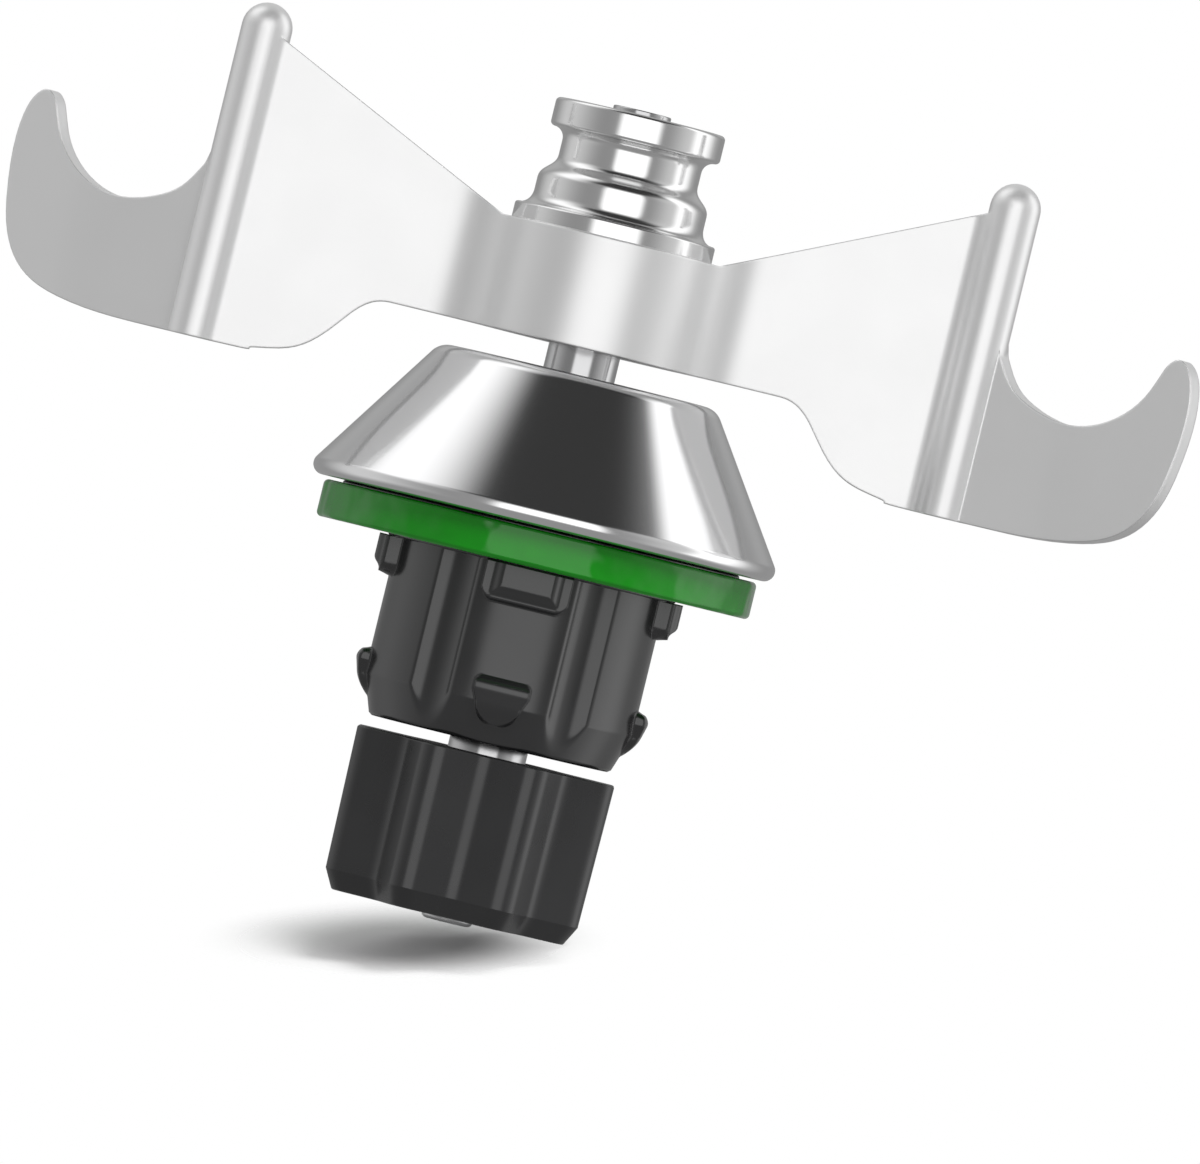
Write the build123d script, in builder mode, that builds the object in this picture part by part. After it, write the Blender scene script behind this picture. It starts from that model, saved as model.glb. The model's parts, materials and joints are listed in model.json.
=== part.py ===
from build123d import *
from math import hypot
import os

os.makedirs("parts", exist_ok=True)

# Dough mixer blade, in millimetres. The turning axis is Z, the origin is at the shaft's lower end,
# and the blade spans along X. Fits first: gaps are radial.
seat_gap = 0.02  # pieces pressed, clamped or slid together
run_gap = 0.06  # a turning piece beside a fixed one
groove_gap = 0.04  # a ball in its groove

# Drive coupler: an eight-pointed drive, made of two rounded squares turned half a step
coupler_lift = 0.6  # shaft end standing out below the coupler
coupler_h = 16.6
coupler_points = 8
coupler_half_side = 10.56
coupler_ridge_r = 2.0
coupler_valley_r = 2.1
coupler_draft = 0.19  # loss of half side from the top to the lead-in
coupler_lead_h = 2.0
coupler_lead_in = 0.81  # loss of half side over the lead-in
coupler_recess_h = 1.2  # recess for the clip, in the underside

# Bearing housing: barrel with flutes, bayonet teeth and pads, collar, flange and neck
base_gap = 1.2  # free shaft between the coupler and the housing
base_taper_h = 4.05
base_low_r = 12.38
barrel_r = 13.76
barrel_h = 13.9
flute_r = 3.8
flute_depth = 0.98
flute_angle = 31.0  # from the front and from the back
tooth_half_w = 2.7
tooth_waist_half_w = 2.2
tooth_h = 2.45  # above the taper
tooth_drop = 2.25  # below the top of the taper
tooth_out = 1.34
tooth_knee_drop = 0.95  # where the tooth's outer face turns in, below the top of the taper
tooth_knee_out = 0.34
tooth_round = 0.6
tooth_foot_round = 1.8  # of the lower corners
pad_half_w = 4.14
pad_h = 3.85
pad_out = 1.14
pad_raise = 0.7  # further height of the bevelled plateau
pad_corner_r = 1.3
pad_top_half_w = 2.35
pad_top_h = 2.55
collar_r = 14.78
flange_r = 20.4
flange_t = 2.1
neck_wall = 2.5
neck_spigot_wall = 0.9  # thinner end that passes through the cover
neck_bore_r = 5.6
neck_recess = 0.1  # neck end below the cover's top face
shoulder_step = 0.24  # how far the housing's shoulder reaches in over the outer race

# Seal ring round the flange
seal_drop = 0.15  # collar showing below the seal
seal_foot_t = 2.0
seal_wall = 1.85
seal_h = 3.8
seal_edge_r = 0.5
seal_relief = 0.4  # rise of the foot's underside towards the collar
seal_relief_gap = 0.4  # from the pads to where the underside is level

# Cone cover, drawn from sheet with a rolled rim
cover_t = 1.0
cover_h = 15.6
cover_top_r = 14.2
cover_rim_r = 24.7  # where the slant would meet the rim's level
cover_rim_round = 1.1
cover_top_round = 2.2
cover_lip_w = 1.8  # overlap of the turned-in rim on the flange
blade_gap = 2.7  # free shaft between the cover and the blade

# Kneading blade, cast in one piece
boss_r = 11.1
boss_h = 11.25
boss_blend_r = 7.4
wing_t = 2.0
wing_rise = 11.55  # of the upper edge, from the boss to the rod's flank
wing_drop = 7.95  # of the lower edge, from the boss to the rod's foot
drop_start = 20.0  # where the lower edge leaves the level of the boss
drop_edge = [(2.2, 0.08), (4.9, 0.45), (6.6, 0.68), (9.2, 0.87), (12.5, 0.96)]  # X, share of drop
drop_end = 18.0  # where the lower edge has come down, from its start
rod_x = 38.5
rod_r = 2.56
rod_offset = 0.8  # of each rod's axis from the wings' middle plane
rod_len = 34.3
rod_blend_r = 2.0
hook_t = 2.0
hook_tilt = 23.5  # at the rod, from the wings' plane
hook_bend = 8.5  # further turn half way out
hook_bend_x = 13.1  # from the rod's axis to the bend
hook_bend_r = 59.0
# Outline of each hook, from its foot round the tip and along the cut-out to the rod: along the sheet
# from the rod's axis, and up from the rod's foot
hook_edge = [
    (4.9, 0), (14.6, 0.65), (20.3, 2.75), (22.64, 5.55), (24.12, 10.65), (24.5, 15.65), (24.1, 18.4),
    (23.3, 20.05), (22.1, 20.8), (21.1, 20.2), (20.35, 18.8), (19.2, 16.4), (16.8, 13.9), (11.6, 12),
    (6.8, 13), (4.2, 14.75), (2.8, 16.8), (2.2, 18.8),
]

# Hub nut, turned
nut_h = 12.75
nut_base_r = 10.28
nut_base_t = 1.7
nut_barrel_r = 8.7
nut_barrel_low = 3.4  # lower and upper end of the barrel, from the nut's underside
nut_barrel_high = 4.5
nut_sweep_r = 1.65
nut_waist_r = 7.15
nut_waist_low = 7.0
nut_waist_high = 8.6
nut_head_t = 2.95
nut_edge_r = 0.3
nut_ring_r = 6.6
nut_ring_w = 1.0
nut_ring_h = 0.9

# Drive shaft, turned from one bar
shaft_r = 4.0
shaft_end_r = 2.6
shaft_end_chamfer = 0.5
shaft_tip_chamfer = 0.15
shaft_end_len = 4.0
shaft_drive_r = 3.5
shaft_drive_flat = 2.8  # half the width across the lower flats
shaft_drive_len = 8.0
shaft_collar_r = 4.8
shaft_collar_t = 2.0
shaft_neck_r = 3.65
shaft_seat_r = 3.4
shaft_seat_flat = 2.96  # half the width across the upper flats
shaft_thread_r = 2.96
shaft_stand = 0.55  # thread end above the nut
centre_drill_r = 0.7
centre_drill_end_r = 0.18
centre_drill_depth = 1.4

# Ball bearings, both alike, with one spacer between the inner and one between the outer races
bearing_r = 8.0
bearing_w = 5.0
bearing_span = 7.0  # between the two bearings
bearing_depth = 0.5  # top of the upper bearing below the flange's underside
ball_r = 1.19
ball_count = 9
race_land = 0.75  # from the pitch circle to the shoulder of each race
cage_t = 0.7
cage_w = 3.8
spacer_t = 1.1
clip_t = 1.0
clip_bite = 0.6  # depth of a clip in its groove
clip_w = 1.7
clip_mouth = 2.4  # half width of a clip's opening

# Shaft seal at the top of the neck
lip_seal_r = 6.5
lip_seal_h = 4.8
lip_seal_depth = 0.6  # below the cover's top face
case_t = 0.45
case_lip_w = 1.35  # turned-in top of the case
lip_t = 0.9  # rubber between the shaft and the garter spring
lip_h = 1.8  # from the sealing edge up to the lip's root
lip_edge_h = 1.6  # sealing edge above the seal's lower end
lip_foot_h = 0.45  # lip's lower end above the seal's lower end
lip_back = 0.45  # how far the lip stands off the shaft above the sealing edge
lip_lead_in = 0.3  # the same at the lip's lower end
spring_r = 0.42

# Levels along the axis
coupler_top = coupler_lift + coupler_h
coupler_clip_top = coupler_lift + coupler_recess_h
coupler_clip_low = coupler_clip_top - clip_t
drive_top = shaft_end_len + shaft_drive_len
base_low = coupler_top + base_gap
taper_top = base_low + base_taper_h
collar_low = taper_top + barrel_h
seal_low = collar_low + seal_drop
flange_low = seal_low + seal_foot_t
flange_top = flange_low + flange_t
cover_top = flange_top + cover_h
boss_low = cover_top + blade_gap
boss_top = boss_low + boss_h
nut_top = boss_top + nut_h
shaft_top = nut_top + shaft_stand
rod_low = boss_low - wing_drop
rod_top = rod_low + rod_len
bearing_top = flange_low - bearing_depth
bearing_low = bearing_top - 2 * bearing_w - bearing_span
clip_low = bearing_low - clip_t
collar_top = bearing_top + shaft_collar_t
lip_seal_top = cover_top - lip_seal_depth
lip_seal_low = lip_seal_top - lip_seal_h
neck_r = lip_seal_r + neck_wall
neck_spigot_r = lip_seal_r + neck_spigot_wall
ball_pitch_r = (shaft_r + bearing_r) / 2
outer_shoulder_r = ball_pitch_r + race_land - shoulder_step


def turned(inner, outer, low, high, mode=Mode.ADD):
    """Rectangular section of a turned ring, drawn in the plane of the axis."""
    with Locations(((inner + outer) / 2, (low + high) / 2)):
        Rectangle(outer - inner, high - low, mode=mode)


def coupler_star(half_side):
    """Section of the drive coupler: two squares turned against each other, all corners round."""
    half_step = 180 / coupler_points
    with BuildSketch() as star:
        for turn in (half_step, 3 * half_step):
            RectangleRounded(2 * half_side, 2 * half_side, coupler_ridge_r, rotation=turn)
        valleys = star.vertices().group_by(lambda v: round(hypot(v.X, v.Y), 2))[0]
        fillet(valleys, coupler_valley_r)
    return star.sketch


def flatted_circle(radius, half_flat):
    """Round section with two flats that face the front and the back."""
    with BuildSketch() as flatted:
        Circle(radius)
        Rectangle(2 * radius, 2 * half_flat, mode=Mode.INTERSECT)
    return flatted.sketch


# Drive coupler: star with a lead-in, stepped bore with flats, recess for the clip
with BuildPart() as drive_coupler:
    with BuildSketch(Plane.XY.offset(coupler_lift)):
        add(coupler_star(coupler_half_side - coupler_draft - coupler_lead_in))
    with BuildSketch(Plane.XY.offset(coupler_lift + coupler_lead_h)):
        add(coupler_star(coupler_half_side - coupler_draft))
    with BuildSketch(Plane.XY.offset(coupler_top)):
        add(coupler_star(coupler_half_side))
    loft(ruled=True)
    with BuildSketch(Plane.XY.offset(coupler_lift)):
        Circle(shaft_end_r + clip_w)
    extrude(amount=coupler_recess_h, mode=Mode.SUBTRACT)
    with BuildSketch(Plane.XY.offset(coupler_lift)):
        Circle(shaft_end_r + seat_gap)
    extrude(amount=coupler_h, mode=Mode.SUBTRACT)
    with BuildSketch(Plane.XY.offset(shaft_end_len)):
        add(flatted_circle(shaft_drive_r + seat_gap, shaft_drive_flat + seat_gap))
    extrude(amount=coupler_h, mode=Mode.SUBTRACT)
    with BuildSketch(Plane.XY.offset(drive_top)):
        Circle(shaft_r + seat_gap)
    extrude(amount=coupler_h, mode=Mode.SUBTRACT)
drive_coupler.part.label = "drive_coupler"
export_step(drive_coupler.part, "parts/drive_coupler.step")

# Drive shaft: end, flats for the coupler, bearing seat, collar, neck, flats for the blade, thread
with BuildPart() as drive_shaft:
    with BuildSketch(Plane.XZ):
        turned(0, shaft_end_r, 0, drive_top)
        turned(0, shaft_r, drive_top, bearing_top)
        turned(0, shaft_collar_r, bearing_top, collar_top)
        turned(0, shaft_neck_r, collar_top, boss_low)
        turned(0, shaft_thread_r, boss_low, shaft_top)
        turned(shaft_end_r - clip_bite, shaft_r, coupler_clip_low, coupler_clip_top, Mode.SUBTRACT)
        turned(shaft_r - clip_bite, shaft_collar_r, clip_low, bearing_low, Mode.SUBTRACT)
    revolve(axis=Axis.Z)
    rims = drive_shaft.edges().filter_by(GeomType.CIRCLE).sort_by(Axis.Z)
    chamfer(rims[0], shaft_end_chamfer)
    chamfer(rims[-1], shaft_tip_chamfer)
    with BuildSketch(Plane.XY.offset(shaft_end_len)):
        add(flatted_circle(shaft_drive_r, shaft_drive_flat))
    extrude(amount=shaft_drive_len)
    with BuildSketch(Plane.XY.offset(boss_low)):
        add(flatted_circle(shaft_seat_r, shaft_seat_flat))
    extrude(amount=boss_h)
    with BuildSketch(Plane.XY.offset(shaft_top - centre_drill_depth)):
        Circle(centre_drill_end_r)
    with BuildSketch(Plane.XY.offset(shaft_top)):
        Circle(centre_drill_r)
    loft(mode=Mode.SUBTRACT)
drive_shaft.part.label = "drive_shaft"
export_step(drive_shaft.part, "parts/drive_shaft.step")

# Open spring clips in the shaft's grooves: one holds the coupler, one the bearings
for clip_name, groove_r, low in (
    ("coupler_clip", shaft_end_r - clip_bite, coupler_clip_low),
    ("shaft_clip", shaft_r - clip_bite, clip_low),
):
    with BuildPart() as clip:
        with BuildSketch(Plane.XY.offset(low)):
            Circle(groove_r + clip_w)
            Circle(groove_r + seat_gap, mode=Mode.SUBTRACT)
            with Locations((0, -groove_r - clip_w / 2)):
                Rectangle(2 * clip_mouth, 2 * groove_r, mode=Mode.SUBTRACT)
        extrude(amount=clip_t)
    clip.part.label = clip_name
    export_step(clip.part, f"parts/{clip_name}.step")

# Clip in the housing's groove, under the outer race
with BuildPart() as housing_clip:
    with BuildSketch(Plane.XY.offset(clip_low)):
        Circle(bearing_r + clip_bite - seat_gap)
        Circle(bearing_r + clip_bite - clip_w, mode=Mode.SUBTRACT)
        with Locations((0, -bearing_r)):
            Rectangle(2 * clip_mouth, bearing_r, mode=Mode.SUBTRACT)
    extrude(amount=clip_t)
housing_clip.part.label = "housing_clip"
export_step(housing_clip.part, "parts/housing_clip.step")

# Bayonet tooth at the front: its outline, then the turned section that its outer face follows
tooth_r = barrel_r + tooth_out
knee_r = barrel_r + tooth_knee_out
with BuildPart() as bayonet_tooth:
    with BuildSketch(Plane.XZ):
        with BuildLine():
            FilletPolyline(
                (tooth_half_w, taper_top + tooth_h),
                (tooth_half_w, taper_top + tooth_h / 2),
                (tooth_waist_half_w, taper_top),
                (tooth_waist_half_w, taper_top - tooth_drop),
                (-tooth_waist_half_w, taper_top - tooth_drop),
                (-tooth_waist_half_w, taper_top),
                (-tooth_half_w, taper_top + tooth_h / 2),
                (-tooth_half_w, taper_top + tooth_h),
                radius=[tooth_round, tooth_round, tooth_round, tooth_foot_round]
                + [tooth_foot_round, tooth_round, tooth_round, tooth_round],
                close=True,
            )
        make_face()
    extrude(amount=tooth_r + tooth_out)
    with BuildSketch(Plane.XZ):
        with BuildLine():
            FilletPolyline(
                (neck_r, taper_top - tooth_knee_drop - (knee_r - neck_r)),
                (knee_r, taper_top - tooth_knee_drop),
                (tooth_r, taper_top + tooth_h - tooth_round),
                (tooth_r - 2 * tooth_round, taper_top + tooth_h + tooth_round),
                (neck_r, taper_top + tooth_h + tooth_round),
                radius=[0, tooth_round, tooth_round, 0, 0],
                close=True,
            )
        make_face()
    revolve(axis=Axis.Z, mode=Mode.INTERSECT)

# Bayonet pad at the front: a plate with round lower corners and a bevelled plateau
with BuildPart() as bayonet_pad:
    with BuildSketch(Plane.XZ.offset(neck_r)):
        with BuildLine():
            FilletPolyline(
                (pad_half_w, collar_low),
                (pad_half_w, collar_low - pad_h),
                (-pad_half_w, collar_low - pad_h),
                (-pad_half_w, collar_low),
                radius=[0, pad_corner_r, pad_corner_r, 0],
                close=True,
            )
        make_face()
    extrude(amount=barrel_r + pad_out - neck_r)
    with BuildSketch(Plane.XZ.offset(barrel_r + pad_out)):
        with Locations((0, collar_low - (pad_top_h + pad_raise) / 2)):
            Rectangle(2 * (pad_top_half_w + pad_raise), pad_top_h + pad_raise)
    with BuildSketch(Plane.XZ.offset(barrel_r + pad_out + pad_raise)):
        with Locations((0, collar_low - pad_top_h / 2)):
            Rectangle(2 * pad_top_half_w, pad_top_h)
    loft()

# Bearing housing, moulded in one: taper, barrel, collar, flange and neck round a stepped bore
with BuildPart() as bearing_housing:
    with BuildSketch(Plane.XZ):
        with BuildLine():
            Polyline(
                (neck_bore_r, base_low),
                (base_low_r, base_low),
                (barrel_r, taper_top),
                (barrel_r, collar_low),
                (collar_r, collar_low),
                (collar_r, flange_low),
                (flange_r, flange_low),
                (flange_r, flange_top),
                (neck_r, flange_top),
                (neck_r, cover_top - cover_t),
                (neck_spigot_r, cover_top - cover_t),
                (neck_spigot_r, cover_top - neck_recess),
                (neck_bore_r, cover_top - neck_recess),
                close=True,
            )
        make_face()
        turned(0, bearing_r + seat_gap, base_low, bearing_top, Mode.SUBTRACT)
        turned(0, bearing_r + clip_bite, clip_low, bearing_low, Mode.SUBTRACT)
        turned(0, outer_shoulder_r, bearing_top, collar_top + clip_t, Mode.SUBTRACT)
        turned(0, lip_seal_r + seat_gap, lip_seal_low, cover_top, Mode.SUBTRACT)
    revolve(axis=Axis.Z)
    with PolarLocations(0, 4):
        add(bayonet_tooth.part)
        add(bayonet_pad.part)
    with BuildSketch(Plane.XY.offset(base_low)):
        for side in (-90, 90):
            for turn in (side - flute_angle, side + flute_angle):
                with PolarLocations(barrel_r + flute_r - flute_depth, 1, turn):
                    Circle(flute_r)
    extrude(amount=collar_low - base_low, mode=Mode.SUBTRACT)
bearing_housing.part.label = "bearing_housing"
export_step(bearing_housing.part, "parts/bearing_housing.step")

# Seal ring: a foot under the flange and a wall round its edge. The foot's underside is relieved
# beside the collar, so that its level part clears the bayonet.
seal_level_r = barrel_r + pad_out + pad_raise + seal_relief_gap
with BuildPart() as seal_ring:
    with BuildSketch(Plane.XZ):
        with BuildLine():
            FilletPolyline(
                (collar_r + seat_gap, seal_low + seal_relief),
                (seal_level_r, seal_low),
                (flange_r + seal_wall, seal_low),
                (flange_r + seal_wall, seal_low + seal_h),
                (flange_r + seat_gap, seal_low + seal_h),
                (flange_r + seat_gap, flange_low),
                (collar_r + seat_gap, flange_low),
                radius=[0, 0, seal_edge_r, seal_edge_r, 0, 0, 0],
                close=True,
            )
        make_face()
    revolve(axis=Axis.Z)
seal_ring.part.label = "seal_ring"
export_step(seal_ring.part, "parts/seal_ring.step")

# Cone cover: turned-in lip on the flange, rolled rim, slant, round shoulder and flat top
with BuildPart() as cone_cover:
    with BuildSketch(Plane.XZ):
        with BuildLine():
            FilletPolyline(
                (flange_r - cover_lip_w, flange_top),
                (cover_rim_r, flange_top),
                (cover_top_r, cover_top),
                (neck_spigot_r + seat_gap, cover_top),
                radius=[cover_rim_round, cover_top_round],
            )
            offset(amount=cover_t, side=Side.LEFT)
        make_face()
    revolve(axis=Axis.Z)
cone_cover.part.label = "cone_cover"
export_step(cone_cover.part, "parts/cone_cover.step")

# The two bearings: races with a groove each, balls, and a cage with a pocket for each ball
for place, middle in (("upper", bearing_top - bearing_w / 2), ("lower", bearing_low + bearing_w / 2)):
    for race_name, bore_r, rim_r in (
        ("inner_race", shaft_r + seat_gap, ball_pitch_r - race_land),
        ("outer_race", ball_pitch_r + race_land, bearing_r),
    ):
        with BuildPart() as race:
            with BuildSketch(Plane.XZ):
                turned(bore_r, rim_r, middle - bearing_w / 2, middle + bearing_w / 2)
                with Locations((ball_pitch_r, middle)):
                    Circle(ball_r + groove_gap, mode=Mode.SUBTRACT)
            revolve(axis=Axis.Z)
        race.part.label = f"{place}_{race_name}"
        export_step(race.part, f"parts/{place}_{race_name}.step")

    with BuildPart() as balls:
        with Locations((0, 0, middle)):
            with PolarLocations(ball_pitch_r, ball_count):
                Sphere(ball_r)
    balls.part.label = f"{place}_balls"
    export_step(balls.part, f"parts/{place}_balls.step")

    with BuildPart() as cage:
        with BuildSketch(Plane.XZ):
            with Locations((ball_pitch_r, middle)):
                Rectangle(cage_t, cage_w)
        revolve(axis=Axis.Z)
        with Locations((0, 0, middle)):
            with PolarLocations(ball_pitch_r, ball_count):
                Cylinder(ball_r + groove_gap, 2 * cage_t, rotation=(0, 90, 0), mode=Mode.SUBTRACT)
    cage.part.label = f"{place}_cage"
    export_step(cage.part, f"parts/{place}_cage.step")

# Spacers between the bearings
spacer_low = bearing_low + bearing_w
for spacer_name, bore_r, rim_r in (
    ("inner_spacer", shaft_r + seat_gap, shaft_r + seat_gap + spacer_t),
    ("outer_spacer", bearing_r - spacer_t, bearing_r),
):
    with BuildPart() as spacer:
        with BuildSketch(Plane.XZ):
            turned(bore_r, rim_r, spacer_low, spacer_low + bearing_span)
        revolve(axis=Axis.Z)
    spacer.part.label = spacer_name
    export_step(spacer.part, f"parts/{spacer_name}.step")

# Shaft seal: metal case, rubber lip and garter spring
with BuildPart() as seal_case:
    with BuildSketch(Plane.XZ):
        turned(lip_seal_r - case_t, lip_seal_r, lip_seal_low, lip_seal_top)
        turned(lip_seal_r - case_lip_w, lip_seal_r, lip_seal_top - case_t, lip_seal_top)
    revolve(axis=Axis.Z)
seal_case.part.label = "seal_case"
export_step(seal_case.part, "parts/seal_case.step")

lip_r = shaft_neck_r + run_gap
lip_edge = lip_seal_low + lip_edge_h
spring_x = lip_r + lip_t + spring_r
with BuildPart() as shaft_seal:
    with BuildSketch(Plane.XZ):
        with BuildLine():
            Polyline(
                (lip_seal_r - case_t - seat_gap, lip_seal_top - case_t),
                (lip_seal_r - case_lip_w - seat_gap, lip_seal_top - case_t),
                (lip_seal_r - case_lip_w - seat_gap, lip_seal_top),
                (lip_r + lip_back, lip_seal_top),
                (lip_r + lip_back, lip_edge + lip_h),
                (lip_r, lip_edge),
                (lip_r + lip_lead_in, lip_seal_low + lip_foot_h),
                (spring_x, lip_seal_low + lip_foot_h),
                (spring_x, lip_edge + lip_h),
                (lip_seal_r - case_t - seat_gap, lip_edge + lip_h),
                close=True,
            )
        make_face()
        with Locations((spring_x, lip_edge)):
            Circle(spring_r + seat_gap, mode=Mode.SUBTRACT)
    revolve(axis=Axis.Z)
shaft_seal.part.label = "shaft_seal"
export_step(shaft_seal.part, "parts/shaft_seal.step")

with BuildPart() as garter_spring:
    with BuildSketch(Plane.XZ):
        with Locations((spring_x, lip_edge)):
            Circle(spring_r)
    revolve(axis=Axis.Z)
garter_spring.part.label = "garter_spring"
export_step(garter_spring.part, "parts/garter_spring.step")

# One hook: a bent sheet in plan, cut to its outline square to the sheet. The sheet is longer and
# higher than the outline.
hook_foot = Vector(rod_x, -rod_offset, rod_low)
hook_middle_tilt = hook_tilt + hook_bend / 2
hook_reach = max(along for along, rise in hook_edge)
hook_top = max(rise for along, rise in hook_edge) + hook_t
with BuildPart() as hook:
    with BuildSketch(Plane.XY.offset(rod_low)):
        with BuildLine():
            bend = hook_foot + Vector(hook_bend_x, 0, 0).rotate(Axis.Z, -hook_tilt)
            end = bend + Vector(hook_reach, 0, 0).rotate(Axis.Z, -hook_tilt - hook_bend)
            FilletPolyline((hook_foot.X, hook_foot.Y), (bend.X, bend.Y), (end.X, end.Y), radius=hook_bend_r)
            offset(amount=hook_t / 2)
        make_face()
    extrude(amount=hook_top)
    along = Vector(1, 0, 0).rotate(Axis.Z, -hook_middle_tilt)
    with BuildSketch(Plane(hook_foot, x_dir=along, z_dir=along.cross(Vector(0, 0, 1)))):
        with BuildLine():
            Spline(*hook_edge, tangents=[(1, 0), (-0.2, 1)])
            Polyline(hook_edge[-1], (0, hook_edge[-1][1]), (0, 0), hook_edge[0])
        make_face()
    extrude(amount=rod_x, both=True, mode=Mode.INTERSECT)

# Kneading blade: boss, wings and rods in plan, trimmed to their outline from the front, then rod
# ends and hooks
flank_x = rod_x - rod_r
wing_slope = wing_rise / (flank_x - boss_r)
with BuildPart() as kneading_blade:
    with BuildSketch(Plane.XY.offset(rod_low)) as plan:
        Rectangle(2 * rod_x, wing_t)
        with Locations((rod_x, -rod_offset), (-rod_x, rod_offset)):
            Circle(rod_r)
        fillet(plan.vertices().sort_by(lambda v: abs(v.X))[0:4], rod_blend_r)
        Circle(boss_r)
        fillet(plan.vertices().sort_by(lambda v: abs(v.X))[0:4], boss_blend_r)
    extrude(amount=rod_len)
    with BuildSketch(Plane.XZ):
        with BuildLine():
            drop_foot = (drop_start + drop_end, rod_low)
            drops = [(drop_start + x, boss_low - share * wing_drop) for x, share in drop_edge]
            Line((0, boss_low), (drop_start, boss_low))
            Spline((drop_start, boss_low), *drops, drop_foot, tangents=[(1, 0), (1, 0)])
            Polyline(
                drop_foot,
                (rod_x, rod_low),
                (rod_x, boss_top + wing_slope * (rod_x - boss_r)),
                (boss_r, boss_top),
                (0, boss_top),
            )
            mirror(about=Plane.YZ)
        make_face()
    extrude(amount=2 * boss_r, both=True, mode=Mode.INTERSECT)
    with Locations((rod_x, -rod_offset, rod_low), (-rod_x, rod_offset, rod_low)):
        Cylinder(rod_r, rod_len - rod_r, align=(Align.CENTER, Align.CENTER, Align.MIN))
    with Locations((rod_x, -rod_offset, rod_top - rod_r), (-rod_x, rod_offset, rod_top - rod_r)):
        Sphere(rod_r)
    with PolarLocations(0, 2):
        add(hook.part)
    with BuildSketch(Plane.XY.offset(boss_low)):
        add(flatted_circle(shaft_seat_r + seat_gap, shaft_seat_flat + seat_gap))
    extrude(amount=boss_h, mode=Mode.SUBTRACT)
kneading_blade.part.label = "kneading_blade"
export_step(kneading_blade.part, "parts/kneading_blade.step")

# Ring that seals the nut's underside
with BuildPart() as nut_seal:
    with BuildSketch(Plane.XZ):
        turned(nut_ring_r - nut_ring_w, nut_ring_r, boss_top, boss_top + nut_ring_h)
    revolve(axis=Axis.Z)
nut_seal.part.label = "nut_seal"
export_step(nut_seal.part, "parts/nut_seal.step")

# Hub nut: base disc, sweep up to a barrel, waist and head
sweep_end = (nut_base_r - nut_edge_r, nut_base_t)
head_low = nut_h - nut_head_t
nut_bore_r = shaft_thread_r + seat_gap
with BuildPart() as hub_nut:
    with BuildSketch(Plane((0, 0, boss_top), x_dir=(1, 0, 0), z_dir=(0, -1, 0))):
        with BuildLine():
            Polyline((nut_bore_r, 0), (nut_base_r, 0), (nut_base_r, nut_base_t), sweep_end)
            RadiusArc(sweep_end, (nut_barrel_r, nut_barrel_low), nut_sweep_r)
            Line((nut_barrel_r, nut_barrel_low), (nut_barrel_r, nut_barrel_high))
            Spline((nut_barrel_r, nut_barrel_high), (nut_waist_r, nut_waist_low), tangents=[(0, 1), (0, 1)])
            Line((nut_waist_r, nut_waist_low), (nut_waist_r, nut_waist_high))
            Spline((nut_waist_r, nut_waist_high), (nut_barrel_r, head_low), tangents=[(0, 1), (1, 0)])
            Polyline((nut_barrel_r, head_low), (nut_barrel_r, nut_h), (nut_bore_r, nut_h), (nut_bore_r, 0))
        make_face()
        turned(nut_ring_r - nut_ring_w - seat_gap, nut_ring_r + seat_gap, 0, nut_ring_h, Mode.SUBTRACT)
    revolve(axis=Axis.Z)
hub_nut.part.label = "hub_nut"
export_step(hub_nut.part, "parts/hub_nut.step")
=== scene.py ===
"""Finish of the dough mixer blade: moulded, turned and cast pieces, their materials, and a plain studio."""

import json
import math
from collections import namedtuple

import bmesh
import bpy
from bpy.props import FloatProperty, FloatVectorProperty, IntProperty, PointerProperty
from mathutils import Matrix, Vector
from mathutils.geometry import interpolate_bezier


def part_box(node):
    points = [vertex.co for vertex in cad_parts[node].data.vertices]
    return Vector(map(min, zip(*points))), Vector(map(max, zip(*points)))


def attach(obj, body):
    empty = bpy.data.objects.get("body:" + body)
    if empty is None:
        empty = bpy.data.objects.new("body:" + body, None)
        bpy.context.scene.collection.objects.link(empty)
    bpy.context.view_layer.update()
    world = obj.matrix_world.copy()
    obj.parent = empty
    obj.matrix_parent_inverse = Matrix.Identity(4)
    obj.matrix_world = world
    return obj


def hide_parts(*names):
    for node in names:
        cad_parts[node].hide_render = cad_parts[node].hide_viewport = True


bl_info = {
    "name": "Dough mixer blade",
    "version": (1, 0, 0),
    "blender": (4, 5, 0),
    "location": "View3D > Sidebar > Mixer blade",
    "description": "Models and finishes the pieces of a dough mixer blade round its solid frame",
    "category": "Object",
}

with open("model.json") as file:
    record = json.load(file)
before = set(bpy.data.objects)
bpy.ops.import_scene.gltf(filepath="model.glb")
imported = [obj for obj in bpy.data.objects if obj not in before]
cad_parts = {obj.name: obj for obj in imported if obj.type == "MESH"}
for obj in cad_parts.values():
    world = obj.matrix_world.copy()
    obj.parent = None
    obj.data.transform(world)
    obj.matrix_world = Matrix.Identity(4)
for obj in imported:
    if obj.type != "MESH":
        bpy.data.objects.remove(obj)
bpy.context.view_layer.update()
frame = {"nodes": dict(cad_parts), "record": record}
RECORD = frame["record"]
BODY_OF = {node: body for body, nodes in RECORD["behaviour"]["bodies"].items() for node in nodes}
SLOT_OF = {sub["node"]: sub["material_slot"] for sub in RECORD["subparts"]}

MM = 0.001
MERGE = 1e-6  # points nearer than this are one
FULL_TURN = 2 * math.pi
IOR = 1.45  # index of refraction, alike in all finishes
SEEN_RAYS = ("Is Camera Ray", "Is Glossy Ray", "Is Transmission Ray")


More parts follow.
